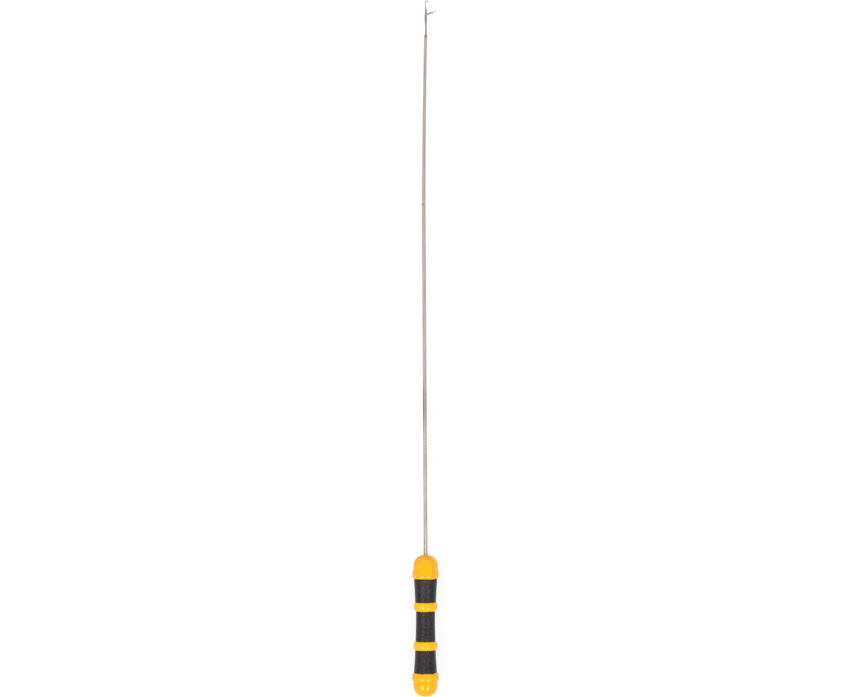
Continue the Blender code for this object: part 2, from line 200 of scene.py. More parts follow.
def around(count=224):
    """Angles round a turned piece, evenly spread, with more of them beside the two parting lines."""
    even = np.linspace(-math.pi, math.pi, count, endpoint=False)
    fine = np.linspace(-0.07, 0.07, 21)
    lines = [PARTING_ANGLE + fine, PARTING_ANGLE - math.pi + fine]
    keep = np.all([np.abs(even - line[10]) > 0.075 for line in lines], axis=0)
    return np.sort(np.concatenate([even[keep], *lines]))


def parting_bump(angles):
    """1 on the two parting lines and 0 away from them, falling off as a bell."""
    near = np.abs((angles - PARTING_ANGLE + math.pi / 2.0) % math.pi - math.pi / 2.0)
    return np.exp(-(near / PARTING_HALF_WIDTH) ** 2)


def wobble(angles, seed, waves=5):
    """A smooth closed ripple, about -1 to 1: a sum of sines of rising order with seeded sizes and phases."""
    draw = np.random.default_rng(seed)
    size = draw.uniform(0.4, 1.0, waves) / np.arange(1, waves + 1) ** 0.5
    phase = draw.uniform(0.0, 2.0 * math.pi, waves)
    order = np.arange(1, waves + 1)
    ripple = (size[:, None] * np.sin(order[:, None] * 2.0 * angles[None, :] + phase[:, None])).sum(axis=0)
    return ripple / size.sum()


def turned(name, outline, bore, material, ridge=0.0, edge_start=None, edge_end=None):
    """A turned piece about the handle's axis, from an outline of (x, radius) in millimetres from the butt.

    Points are (x, -r sin a, r cos a). The radius gains the parting ridge, and each end of the outline slides
    along X by its own ripple, which dies away about half a millimetre in. bore holds the inner points, which
    lead back to the outline's start or stop on the axis. The ridge's height is stored for a painted highlight
    along the flash.
    """
    angles = around()
    x = np.repeat(outline[:, :1], len(angles), axis=1)
    radius = np.repeat(outline[:, 1:], len(angles), axis=1)
    radius = radius + ridge * parting_bump(angles)[None, :]
    low, high = outline[:, 0].min(), outline[:, 0].max()
    if edge_start is not None:
        x = x + edge_start(angles)[None, :] * np.exp(-(outline[:, :1] - low) / SEAM_FADE_MM)
    if edge_end is not None:
        x = x + edge_end(angles)[None, :] * np.exp(-(high - outline[:, :1]) / SEAM_FADE_MM)
    x = np.vstack([x, np.repeat(bore[:, :1], len(angles), axis=1)])
    radius = np.vstack([radius, np.repeat(bore[:, 1:], len(angles), axis=1)])
    grid = np.stack([BUTT_X + x * MM, -radius * np.sin(angles) * MM,
                     AXIS_Z + radius * np.cos(angles) * MM], axis=-1)
    closed_ring = bore[-1, 1] > 0.05
    piece = skin(name, grid, material, ring=closed_ring)
    # The parting ridge's bell, kept for a painted highlight along the line of flash
    flash = np.zeros(grid.shape[:2])
    if ridge > 0.0:
        flash[:len(outline)] = parting_bump(angles)
    mark(piece, "flash", np.append(flash, [] if closed_ring else [0.0, 0.0]))
    return piece


# ------------------------------------------------------------------ materials

def srgb(code):
    """An sRGB hex colour as linear RGBA."""
    channels = np.array([int(code[i:i + 2], 16) for i in (1, 3, 5)]) / 255.0
    linear = np.where(channels <= 0.04045, channels / 12.92, ((channels + 0.055) / 1.055) ** 2.4)
    return (*linear.tolist(), 1.0)


def add(tree, kind, inputs=None, out=0, stops=(), **settings):
    """Add a node with its settings and links, and return one of its outputs.

    Each input is a value or another node's output, and stops are a colour ramp's places and hex colours.
    """
    node = tree.nodes.new(kind)
    for key, value in settings.items():
        setattr(node, key, value)
    for socket, value in (inputs or {}).items():
        if isinstance(value, bpy.types.NodeSocket):
            tree.links.new(value, node.inputs[socket])
        else:
            node.inputs[socket].default_value = value
    for k, (place, colour) in enumerate(stops):
        node.color_ramp.elements[k].position = place
        node.color_ramp.elements[k].color = srgb(colour)
    return node.outputs[out]


def new_material(name, constants):
    """A material's tree and its Principled shader's sockets, with the constant values set on them."""
    material = bpy.data.materials.new(name)
    material.use_nodes = True
    tree = material.node_tree
    sockets = tree.nodes["Principled BSDF"].inputs
    for socket, value in constants.items():
        sockets[socket].default_value = value
    return material, tree, sockets


def spots(tree, size_mm, detail=2.0, stretch=1.0, roughness=0.5):
    """A pattern of soft spots, 0 to 1: noise on Object coordinates whose spots measure size_mm, and as many
    times longer along X as stretch says."""
    coordinates = add(tree, "ShaderNodeTexCoord", out="Object")
    scale = 1.0 / (size_mm * MM)
    mapped = add(tree, "ShaderNodeMapping", {"Scale": (scale / stretch, scale, scale), "Vector": coordinates})
    return add(tree, "ShaderNodeTexNoise",
               {"Scale": 1.0, "Detail": detail, "Roughness": roughness, "Vector": mapped})


def band(tree, centre_x, half_width):
    """A pattern that is 1 at a place along X and falls smoothly to 0 at its half width."""
    coordinates = add(tree, "ShaderNodeTexCoord", out="Object")
    along = add(tree, "ShaderNodeSeparateXYZ", {"Vector": coordinates}, out="X")
    offset = add(tree, "ShaderNodeMath", {0: along, 1: centre_x}, operation="SUBTRACT")
    distance = add(tree, "ShaderNodeMath", {0: offset}, operation="ABSOLUTE")
    return add(tree, "ShaderNodeMapRange",
               {"Value": distance, "From Min": 0.0, "From Max": half_width, "To Min": 1.0, "To Max": 0.0},
               interpolation_type="SMOOTHSTEP")


def moulded_yellow_abs(name, darker, lighter):
    """ABS plastic from a polished mould: strong yellow, glossy, with the faint unevenness of moulded skin,
    and a painted highlight, a paler colour, along the line of flash where the mould's halves met."""
    material, tree, sockets = new_material(name, {"Specular IOR Level": 0.27})
    tint = add(tree, "ShaderNodeValToRGB", {"Fac": spots(tree, 2.2)}, stops=((0.30, darker), (0.62, lighter)))
    pale = add(tree, "ShaderNodeValToRGB", {"Fac": spots(tree, 0.8)},
               stops=((0.35, "#EDBE50"), (0.65, "#F2CC70")))
    # A painted highlight: a paler colour along the parting ridge's line of flash
    flash = add(tree, "ShaderNodeAttribute", out="Fac", attribute_name="flash")
    share = add(tree, "ShaderNodeMath", {0: flash, 1: 0.7}, operation="MULTIPLY")
    colour = add(tree, "ShaderNodeMix", {0: share, 6: tint, 7: pale}, out=2, data_type="RGBA")
    gloss = add(tree, "ShaderNodeMapRange",
                {"Value": spots(tree, 1.1), "From Min": NOISE_LOW, "From Max": NOISE_HIGH,
                 "To Min": 0.12, "To Max": 0.20})
    waves = add(tree, "ShaderNodeBump", {"Height": spots(tree, 2.4, 1.0), "Distance": 0.004 * MM})
    peel = add(tree, "ShaderNodeBump",
               {"Height": spots(tree, 0.25), "Distance": 0.0003 * MM, "Normal": waves})
    tree.links.new(colour, sockets["Base Color"])
    tree.links.new(gloss, sockets["Roughness"])
    tree.links.new(peel, sockets["Normal"])
    return material


def moulded_black_tpr():
    """Thermoplastic rubber from a spark-eroded mould: black, matte, finely grained and slightly blotched."""
    material, tree, sockets = new_material("moulded_black_tpr", {"Specular IOR Level": 0.31})
    tint = add(tree, "ShaderNodeValToRGB", {"Fac": spots(tree, 0.9, 3.0, roughness=0.6)},
               stops=((0.34, "#0A0608"), (0.66, "#2B2326")))
    matte = add(tree, "ShaderNodeMapRange",
                {"Value": spots(tree, 0.7, 3.0), "From Min": NOISE_LOW, "From Max": NOISE_HIGH,
                 "To Min": 0.34, "To Max": 0.47})
    blotches = add(tree, "ShaderNodeBump",
                   {"Height": spots(tree, 1.3, 3.0, roughness=0.6), "Distance": 0.22 * MM})
    grain = add(tree, "ShaderNodeBump",
                {"Height": spots(tree, 0.40, 3.0), "Distance": 0.05 * MM, "Normal": blotches})
    tree.links.new(tint, sockets["Base Color"])
    tree.links.new(matte, sockets["Roughness"])
    tree.links.new(grain, sockets["Normal"])
    return material


def moulded_core_nylon():
    """Black nylon, moulded and hidden inside the handle: even, with a faint satin variation."""
    material, tree, sockets = new_material("moulded_core_nylon", {"IOR": 1.53})
    tint = add(tree, "ShaderNodeValToRGB", {"Fac": spots(tree, 1.5)},
               stops=((0.35, "#232325"), (0.65, "#2D2D30")))
    satin = add(tree, "ShaderNodeMapRange",
                {"Value": spots(tree, 0.5), "From Min": NOISE_LOW, "From Max": NOISE_HIGH,
                 "To Min": 0.42, "To Max": 0.56})
    tree.links.new(tint, sockets["Base Color"])
    tree.links.new(satin, sockets["Roughness"])
    return material


def drawn_stainless():
    """Stainless tube drawn through a die: satin, with long fine draw lines, warmed by the room and dull where
    fingers slide along it; with painted shade in a band by the handle, in the nick's groove and down one
    side, and a painted highlight on the nick's burr."""
    material, tree, sockets = new_material("drawn_stainless",
                                           {"Metallic": 1.0, "Specular Tint": srgb("#C4B9B2")})
    clean = add(tree, "ShaderNodeValToRGB", {"Fac": spots(tree, 0.5, 3.0, 40.0)},
                stops=((0.30, "#BCADA5"), (0.70, "#D1C4BC")))
    dull_and_shaded = add(tree, "ShaderNodeValToRGB", {"Fac": spots(tree, 0.35, 3.0, 30.0)},
                 stops=((0.35, "#AB9D93"), (0.62, "#C3B7AE")))
    wiped = add(tree, "ShaderNodeValToRGB", {"Fac": spots(tree, 0.5, 2.0, 20.0)},
                stops=((0.35, "#B0A195"), (0.65, "#BDB0A5")))
    painted_shade_colour = add(tree, "ShaderNodeValToRGB", {"Fac": spots(tree, 0.3, 3.0, 8.0)},
                  stops=((0.35, "#3A2F25"), (0.65, "#5F5348")))
    burr_highlight_colour = add(tree, "ShaderNodeValToRGB", {"Fac": spots(tree, 0.2)},
               stops=((0.35, "#CFC4BD"), (0.65, "#DDD4CE")))
    # Painted shade in the nick's groove and down one side of the tube
    painted_shade = add(tree, "ShaderNodeAttribute", out="Fac", attribute_name="painted_shade")
    # A painted highlight on the nick's burr
    burr = add(tree, "ShaderNodeAttribute", out="Fac", attribute_name="burr")
    # The first band is dull from handling; the second, by the handle, is painted shade
    darker_places = add(tree, "ShaderNodeMath", {k: band(tree, *place) for k, place in enumerate(DULL_AND_SHADED_PLACES)},
               operation="ADD")
    colour = add(tree, "ShaderNodeMix", {0: darker_places, 6: clean, 7: dull_and_shaded}, out=2, data_type="RGBA")
    colour = add(tree, "ShaderNodeMix", {0: band(tree, *WIPED_PLACE), 6: colour, 7: wiped}, out=2,
                 data_type="RGBA")
    colour = add(tree, "ShaderNodeMix", {0: painted_shade, 6: colour, 7: painted_shade_colour}, out=2, data_type="RGBA")
    colour = add(tree, "ShaderNodeMix", {0: burr, 6: colour, 7: burr_highlight_colour}, out=2, data_type="RGBA")
    # Real draw lines are a few hundredths of a millimetre apart; these are drawn coarser, so that they show.
    lines = spots(tree, 0.10, 3.0, 60.0)
    satin = add(tree, "ShaderNodeMapRange",
                {"Value": lines, "From Min": NOISE_LOW, "From Max": NOISE_HIGH,
                 "To Min": 0.34, "To Max": 0.46})
    tree.links.new(colour, sockets["Base Color"])
    tree.links.new(satin, sockets["Roughness"])
    tree.links.new(add(tree, "ShaderNodeBump", {"Height": lines, "Distance": 0.004 * MM}), sockets["Normal"])
    return material


def pressed_needle_steel():
    """Carbon steel needle, pressed and barrel polished: warm and pale, with short scratches along it that
    spread its highlights, and darkened by heat beside the braze."""
    material, tree, sockets = new_material("pressed_needle_steel",
                                           {"Metallic": 1.0, "Specular Tint": srgb("#DED5D1")})
    plain = add(tree, "ShaderNodeValToRGB", {"Fac": spots(tree, 0.45, 3.0, 4.0)},
                stops=((0.30, "#BFAEA8"), (0.70, "#D1C1BB")))
    heated = add(tree, "ShaderNodeValToRGB", {"Fac": spots(tree, 0.4)},
                 stops=((0.35, "#A18F8A"), (0.65, "#B7A6A1")))
    colour = add(tree, "ShaderNodeMix", {0: band(tree, MOUTH_X + 0.0015, 0.0035), 6: plain, 7: heated}, out=2,
                 data_type="RGBA")
    scratches = spots(tree, 0.06, 3.0, 12.0)
    polish = add(tree, "ShaderNodeMapRange",
                 {"Value": scratches, "From Min": NOISE_LOW, "From Max": NOISE_HIGH,
                  "To Min": 0.22, "To Max": 0.38})
    tree.links.new(colour, sockets["Base Color"])
    tree.links.new(polish, sockets["Roughness"])
    tree.links.new(add(tree, "ShaderNodeBump", {"Height": scratches, "Distance": 0.003 * MM}),
                   sockets["Normal"])
    return material


def blanked_latch_steel():
    """Spring steel blanked from strip and tempered: a shade darker than the needle, and finely scuffed."""
    material, tree, sockets = new_material("blanked_latch_steel",
                                           {"Metallic": 1.0, "Specular Tint": srgb("#E0D6D0")})
    tint = add(tree, "ShaderNodeValToRGB", {"Fac": spots(tree, 0.5, 3.0)},
               stops=((0.30, "#B8A79F"), (0.70, "#CDBDB5")))
    scuffs = spots(tree, 0.08, 3.0)
    polish = add(tree, "ShaderNodeMapRange",
                 {"Value": scuffs, "From Min": NOISE_LOW, "From Max": NOISE_HIGH,
                  "To Min": 0.24, "To Max": 0.40})
    tree.links.new(tint, sockets["Base Color"])
    tree.links.new(polish, sockets["Roughness"])
    tree.links.new(add(tree, "ShaderNodeBump", {"Height": scuffs, "Distance": 0.003 * MM}), sockets["Normal"])
    return material


def browned_braze():
    """Brazing brass left as it set: browned by the torch beside the tube, sooty beyond, dull and lumpy."""
    material, tree, sockets = new_material("browned_braze",
                                           {"Metallic": 1.0, "Specular Tint": srgb("#B8A898")})
    brown = add(tree, "ShaderNodeValToRGB", {"Fac": spots(tree, 0.35, 3.0)},
                stops=((0.30, "#7F6656"), (0.66, "#AC8D77")))
    sooty = add(tree, "ShaderNodeValToRGB", {"Fac": spots(tree, 0.3, 3.0)},
                stops=((0.30, "#897A75"), (0.66, "#A7978F")))
    colour = add(tree, "ShaderNodeMix", {0: band(tree, MOUTH_X, 0.0010), 6: sooty, 7: brown}, out=2,
                 data_type="RGBA")
    dull = add(tree, "ShaderNodeMapRange",
               {"Value": spots(tree, 0.25), "From Min": NOISE_LOW, "From Max": NOISE_HIGH,
                "To Min": 0.46, "To Max": 0.70})
    tree.links.new(colour, sockets["Base Color"])
    tree.links.new(dull, sockets["Roughness"])
    tree.links.new(add(tree, "ShaderNodeBump", {"Height": spots(tree, 0.22), "Distance": 0.02 * MM}),
                   sockets["Normal"])
    return material


def opal_light_table():
    """Matt opal acrylic lit from below, for the floor: most of its white is its own glow, and its base is a
    faintly uneven grey, so it stays white where the tool shades it."""
    material, tree, sockets = new_material("opal_light_table",
                                           {"Roughness": 0.9, "Specular IOR Level": 0.2,
                                            "Emission Color": (1.0, 1.0, 1.0, 1.0),
                                            "Emission Strength": 0.80})
    base = add(tree, "ShaderNodeValToRGB", {"Fac": spots(tree, 30.0)},
               stops=((0.35, "#6E6E6E"), (0.65, "#727272")))
    tree.links.new(base, sockets["Base Color"])
    return material


# ------------------------------------------------------------------ handle

def placed(piece, node, body="tool"):
    """Put a finished piece on its body, in place of its CAD node."""
    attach(piece, body)
    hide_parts(node)
    return piece


def ripple_edge(seed, size_mm, step_mm=0.0, teeth=()):
    """A seam's wander along X by angle: a ripple, a step past the parting line, and small teeth.

    A tooth is (angle in degrees, length in millimetres, width in radians).
    """
    def edge(angles):
        shift = size_mm * wobble(angles, seed)
        shift = shift + step_mm / (1.0 + np.exp(-(angles - PARTING_ANGLE + 0.05) / 0.03)) * (angles < 2.2)
        for degrees, length_mm, width in teeth:
            shift = shift + length_mm * np.exp(-((angles - math.radians(degrees)) / width) ** 2)
        return shift
    return edge


def make_end_cap(material):
    """Butt cap: flat, dome, barrel, neck and flange on the outside, and the blind socket for the core."""
    low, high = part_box("end_cap")
    length = (high.x - low.x) / MM
    flange = (high.y - low.y) / 2.0 / MM
    barrel, dome, flat = 4.85, 5.25, 1.2
    outline = softened([
        np.array([[0.0, 0.02], [0.0, flat]]),
        arc(dome - 0.05, 0.0, dome, barrel, 170.0, 90.0, 80, 2.5),
        np.array([[5.8, barrel - 0.07]]),
        arc(7.75, 4.75, 1.7, flange - 4.75, 166.0, 4.0, 60, 2.2),
        np.array([[length, 4.60], [length, 4.3]]),
    ], 0.075, 0.10)
    bore = np.array([[length, BORE_MM], [3.4, BORE_MM], [3.37, 0.02]])
    edge = ripple_edge(3, 0.07, 0.22, teeth=((-18.0, -0.22, 0.10), (12.0, 0.05, 0.08)))
    piece = turned("end_cap_skin", outline, bore, material, ridge=0.035, edge_end=edge)
    return placed(piece, "end_cap")


def make_front_cap(material):
    """Front cap: flange, barrel and dome on the outside, the tube's hole and the core's socket inside."""
    low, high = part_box("front_cap")
    start = (low.x - BUTT_X) / MM
    end = (HANDLE_END_X - BUTT_X) / MM
    flange = (high.y - low.y) / 2.0 / MM
    barrel, dome = 4.93, 4.3
    hole_angle = math.degrees(math.asin(TUBE_HOLE_MM / barrel))
    outline = softened([
        np.array([[start, 4.3]]),
        arc(49.25, 4.62, 1.9, flange - 4.62, 176.0, 90.0, 40, 2.2),
        arc(49.35, barrel, 1.35, flange - barrel, 84.0, 14.0, 30),
        np.array([[51.3, barrel]]),
        arc(end - dome + 0.03, 0.0, dome, barrel, 90.0, hole_angle, 60),
        np.array([[end - 0.2, TUBE_HOLE_MM]]),
    ], 0.075, 0.09)
    bore = np.array([[54.03, TUBE_HOLE_MM], [54.0, BORE_MM], [start, BORE_MM]])
    edge = ripple_edge(8, 0.06, 0.18, teeth=((6.0, 0.10, 0.07),))
    piece = turned("front_cap_skin", outline, bore, material, ridge=0.035, edge_start=edge)
    return placed(piece, "front_cap")


def make_ring(node, crown_x, rear_radius, front_radius, material, edge_start, edge_end):
    """Hard ring between two grips: a rounded bead that is lower at each seam, and the hole for the core."""
    low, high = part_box(node)
    start, end = (low.x - BUTT_X) / MM, (high.x - BUTT_X) / MM
    crown = (high.y - low.y) / 2.0 / MM + 0.08
    front_half = end - crown_x
    outline = softened([
        np.array([[start, rear_radius - 0.4]]),
        arc(crown_x, rear_radius, crown_x - start - 0.2, crown - rear_radius, 176.0, 90.0, 40, 2.2),
        arc(crown_x, front_radius, front_half, crown - front_radius, 86.0, 4.0, 40),
        np.array([[end, front_radius - 0.4]]),
    ], 0.06, 0.10)
    bore = np.array([[end, BORE_MM], [start, BORE_MM]])
    piece = turned(node + "_skin", outline, bore, material, ridge=0.02, edge_start=edge_start,
                   edge_end=edge_end)
    return placed(piece, node)


def make_grip(node, waist_x, shoulder_x, waist, shoulder, power, material):
    """Soft sleeve whose radius rises from its waist to its shoulder as a power of the distance.

    Both ends turn down under the hard bands beside them, which leaves a fine groove at each seam.
    """
    tuck, drop = 0.22, 0.34
    share = np.linspace(0.0, 1.0, 60)
    along = waist_x + (shoulder_x - waist_x) * share
    profile = np.stack([along, waist + (shoulder - waist) * share ** power], axis=-1)
    if shoulder_x < waist_x:
        profile = profile[::-1]
    low, high = profile[0], profile[-1]
    outline = softened([
        np.array([[low[0] - tuck, low[1] - drop - 0.3], [low[0] - tuck, low[1] - drop],
                  [low[0] + 0.05, low[1] - 0.05]]),
        profile[2:-2],
        np.array([[high[0] - 0.05, high[1] - 0.05], [high[0] + tuck, high[1] - drop],
                  [high[0] + tuck, high[1] - drop - 0.3]]),
    ], 0.075, 0.06)
    bore = np.array([[high[0] + tuck, BORE_MM], [low[0] - tuck, BORE_MM]])
    piece = turned(node + "_skin", outline, bore, material)
    return placed(piece, node)


def make_handle():
    """Caps, rings and grips, and the core's material. Places and radii are millimetres from the butt and
    from the axis."""
    cap_yellow = moulded_yellow_abs("moulded_cap_abs", "#DC9D00", "#DFA200")
    yellow = moulded_yellow_abs("moulded_ring_abs", "#DFA602", "#E2AB04")
    black = moulded_black_tpr()
    make_end_cap(cap_yellow)
    make_front_cap(cap_yellow)
    make_ring("rear_ring", 20.7, 4.14, 4.18, yellow, ripple_edge(21, 0.05), ripple_edge(22, 0.05, -0.06))
    make_ring("front_ring", 36.6, 3.86, 4.26, yellow,
              ripple_edge(31, 0.05, 0.08,
                          teeth=((-24.0, -0.16, 0.05), (-5.0, -0.30, 0.03), (30.0, 0.10, 0.2))),
              ripple_edge(32, 0.08, 0.12))
    make_grip("rear_grip", 18.5, 9.5, 4.16, 4.68, 1.5, black)
    make_grip("middle_grip", 34.1, 22.2, 3.83, 4.03, 3.0, black)
    make_grip("front_grip", 37.9, 47.2, 4.22, 4.70, 1.5, black)
    frame["nodes"]["handle_core"].data.materials.clear()
    frame["nodes"]["handle_core"].data.materials.append(moulded_core_nylon())


# ------------------------------------------------------------------ tube

def tube_offset(x_mm):
    """How far the tube's centre stands towards +Y, by distance from the butt: a straight rise from the handle
    to the bend, and from there a fall with the square of the distance."""
    handle = (HANDLE_END_X - BUTT_X) / MM
    mouth = (MOUTH_X - BUTT_X) / MM
    rise = BEND_OFFSET_MM * (x_mm - handle) / (BEND_FROM_BUTT_MM - handle)
    share = (x_mm - BEND_FROM_BUTT_MM) / (mouth - BEND_FROM_BUTT_MM)
    fall = BEND_OFFSET_MM - (BEND_OFFSET_MM - MOUTH_OFFSET_MM) * share ** 2
    return np.where(x_mm <= handle, 0.0, np.where(x_mm <= BEND_FROM_BUTT_MM, rise, fall))


def make_tube(material):
    """Drawn tube: a circle carried along its slight bend, a little slimmer towards its mouth, with a nick.

    The radius loses a slanting groove on the +Y side at the bend, with a burr raised beside it. Each of them
    is a bell along X times a bell round the tube. The groove, and a broad patch down the +Y side about 116 mm
    from the butt, are stored as painted shade, and the burr as a painted highlight.
    """
    mouth = (MOUTH_X - BUTT_X) / MM
    start = (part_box("shaft_tube")[0].x - BUTT_X) / MM
    nick = BEND_FROM_BUTT_MM
    fine = np.linspace(nick - 2.0, nick + 2.0, 70)
    coarse = np.arange(start, mouth, 0.7)
    coarse = coarse[np.abs(coarse - nick) > 2.2]
    outer = np.sort(np.concatenate([coarse, fine, [mouth - 0.05, mouth]]))
    inner = np.linspace(mouth, start, 60)
    angles = np.linspace(-math.pi, math.pi, 72, endpoint=False)
    share = np.clip((outer - TAPER_MM[0]) / (TAPER_MM[1] - TAPER_MM[0]), 0.0, 1.0)
    radius = TUBE_RADIUS_MM + (TUBE_MOUTH_RADIUS_MM - TUBE_RADIUS_MM) * share
    radius = radius - 0.04 * (outer >= mouth)
    radius = np.repeat(radius[:, None], len(angles), axis=1)
    slant = outer[:, None] - nick - 0.15 - 0.30 * np.sin(angles)[None, :]
    groove = np.exp(-((angles + 0.52) / 0.60) ** 2)[None, :] * np.exp(-(slant / 0.42) ** 2)
    # The burr's bell raises the radius, and is stored for a painted highlight on the burr
    burr = np.exp(-((angles + 0.25) / 0.30) ** 2)[None, :] * np.exp(-((slant - 0.66) / 0.22) ** 2)
    radius = radius - GROOVE_DEPTH_MM * groove + BURR_HEIGHT_MM * burr
    # Painted shade: the groove, and a broad patch down the +Y side about 116 mm from the butt
    darker_places = np.exp(-((outer[:, None] - 116.0) / 8.0) ** 2) * np.clip(0.25 - np.sin(angles), 0.0, 1.0)[None, :]
    painted_shade = np.vstack([groove + 0.55 * darker_places, np.zeros((len(inner), len(angles)))])
    x = np.concatenate([outer, inner])
    radius = np.vstack([radius, np.full((len(inner), len(angles)), TUBE_BORE_MM)])
    grid = np.stack([np.repeat(BUTT_X + x[:, None] * MM, len(angles), axis=1),
                     (tube_offset(x)[:, None] - radius * np.sin(angles)) * MM,
                     AXIS_Z + radius * np.cos(angles) * MM], axis=-1)
    piece = skin("shaft_tube_skin", grid, material, ring=True)
    mark(piece, "painted_shade", painted_shade)
    mark(piece, "burr", np.vstack([burr, np.zeros((len(inner), len(angles)))]))
    return placed(piece, "shaft_tube")


# ------------------------------------------------------------------ needle

def through(knots, values, at):
    """A smooth curve through knots: a cubic on each stretch, with slopes from the knots on either side."""
    knots, values = np.asarray(knots, float), np.asarray(values, float)
    slopes = np.gradient(values, knots)
    i = np.clip(np.searchsorted(knots, at) - 1, 0, len(knots) - 2)
    width = knots[i + 1] - knots[i]
    t = (at - knots[i]) / width
    return ((1 + 2 * t) * (1 - t) ** 2 * values[i] + t * (1 - t) ** 2 * width * slopes[i]
            + t * t * (3 - 2 * t) * values[i + 1] + t * t * (t - 1) * width * slopes[i + 1])


def sections(x, y, heading, half_width, half_thickness, squareness, sides):
    """Superellipse sections across a path: (cos a)^(2/n) across and (sin a)^(2/n) up, in millimetres."""
    angle = 2.0 * math.pi * (np.arange(sides) + 0.5) / sides
    power = 2.0 / squareness[:, None]
    across = np.sign(np.cos(angle)) * np.abs(np.cos(angle))[None, :] ** power * half_width[:, None]
    up = np.sign(np.sin(angle)) * np.abs(np.sin(angle))[None, :] ** power * half_thickness[:, None]
    return np.stack([x[:, None] - across * np.sin(heading)[:, None],
                     y[:, None] + across * np.cos(heading)[:, None], up], axis=-1)


def on_needle(points):
    """Points in millimetres from the tube's mouth, as metres in the world."""
    mouth = np.array([MOUTH_X, MOUTH_OFFSET_MM * MM, AXIS_Z])
    return mouth + np.asarray(points) * MM


def carved(piece, cutters):
    """Cut a piece with others, keep the result as its mesh, and remove the cutters."""
    for tool in cutters:
        modifier = piece.modifiers.new(tool.name, "BOOLEAN")
        modifier.operation = "DIFFERENCE"
        modifier.solver = "EXACT"
        modifier.object = tool
    graph = bpy.context.evaluated_depsgraph_get()
    mesh = bpy.data.meshes.new_from_object(piece.evaluated_get(graph))
    piece.modifiers.clear()
    piece.data = mesh
    mesh.set_sharp_from_angle(angle=math.radians(35.0))
    for tool in cutters:
        bpy.data.objects.remove(tool, do_unlink=True)
    return piece


def block(name, low, high, material):
    """A box between two corners, for cutting."""
    corners = np.array([[x, y, z] for x in (low[0], high[0]) for y in (low[1], high[1])
                        for z in (low[2], high[2])])
    faces = np.array([[0, 1, 3, 2], [4, 6, 7, 5], [0, 4, 5, 1], [2, 3, 7, 6], [0, 2, 6, 4], [1, 5, 7, 3]])
    return mesh_piece(name, corners, [faces], material)


def upright_pin(name, radius_mm, half_height_mm, material):
    """A round pin along Z on the latch's pivot, for cutting its holes: a circle at two heights."""
    angles = np.linspace(0.0, 2.0 * math.pi, 32, endpoint=False)
    circle = np.stack([PIVOT[0] + radius_mm * MM * np.cos(angles),
                       PIVOT[1] + radius_mm * MM * np.sin(angles)], axis=-1)
    rows = [np.column_stack([circle, np.full(32, AXIS_Z + height * MM)])
            for height in (-half_height_mm, half_height_mm)]
    return skin(name, np.stack(rows), material)


def needle_path():
    """The needle's sections from its tail to its beak, as smooth curves through its main widths, then an arc
    for the hook and a splayed straight run for the beak."""
    knots = [-6.0, -3.0, 0.0, 3.4, 4.6, 5.8, 6.8, 8.0, 8.9, 9.6, 10.5, 11.5, 12.3, 13.1]
    mouth = (MOUTH_X - BUTT_X) / MM
    tail = [float(tube_offset(np.array(mouth + x))) - MOUTH_OFFSET_MM for x in (-6.0, -3.0)]
    middle = tail + [0.0, 3.4 * STEM_LEAN]
    left = [y + STEM_RADIUS_MM for y in middle] + [0.26, 0.38, 0.46, 0.49, 0.47, 0.40, 0.36, 0.33, 0.31,
                                                   SHANK_Y_MM + WIRE_RADIUS_MM]
    right = [y - STEM_RADIUS_MM for y in middle] + [-0.46, -0.51, -0.55, -0.58, -0.66, -0.66, -0.43, -0.30,
                                                    -0.18, SHANK_Y_MM - WIRE_RADIUS_MM]
    thick = [STEM_RADIUS_MM] * 5 + [CHEEK_MM] * 6 + [0.29, 0.24, WIRE_RADIUS_MM]
    square = [2.0] * 5 + [3.0, 4.0, 4.0, 4.0, 4.0, 4.0, 3.5, 2.5, 2.0]
    x = np.linspace(-6.0, 13.1, 170)
    left, right = through(knots, left, x), through(knots, right, x)
    thick, square = through(knots, thick, x), through(knots, square, x)
    straight = (x, (left + right) / 2.0, np.zeros_like(x), (left - right) / 2.0, thick,
                np.clip(square, 2.0, 4.2))

    reach = (HOOK_X - MOUTH_X) / MM
    centre_x = reach - WIRE_RADIUS_MM - HOOK_RADIUS_MM
    centre_y = SHANK_Y_MM - HOOK_RADIUS_MM
    turn = math.pi - BEAK_SPLAY
    angle = np.linspace(0.0, turn, 46)
    wire = np.full_like(angle, WIRE_RADIUS_MM)
    bend = (centre_x + HOOK_RADIUS_MM * np.sin(angle), centre_y + HOOK_RADIUS_MM * np.cos(angle), -angle,
            wire, wire, np.full_like(angle, 2.0))

    share = np.linspace(0.04, 1.0, 26)
    slim = WIRE_RADIUS_MM * (1.0 - 0.25 * share) * np.sqrt(np.clip(1.0 - share ** 7, 0.02, 1.0))
    beak = (bend[0][-1] + BEAK_MM * share * math.cos(turn), bend[1][-1] - BEAK_MM * share * math.sin(turn),
            np.full_like(share, -turn), slim, slim, np.full_like(share, 2.0))
    return [np.concatenate(parts) for parts in zip(straight, bend, beak)]


def make_needle(material):
    """Stem, cheeks, shank and hook as one skin, with the latch's slot and the rivet's hole cut through it."""
    piece = skin("needle_blade_skin", on_needle(sections(*needle_path(), sides=36)), material)
    low = on_needle([SLOT_MM[0], -1.5, -SLOT_HALF_MM])
    high = on_needle([SLOT_MM[1], 1.5, SLOT_HALF_MM])
    carved(piece, [block("slot_tool", low, high, material),
                   upright_pin("cheek_hole_tool", RIVET_HOLE_MM, 1.0, material)])
    return placed(piece, "needle_blade")


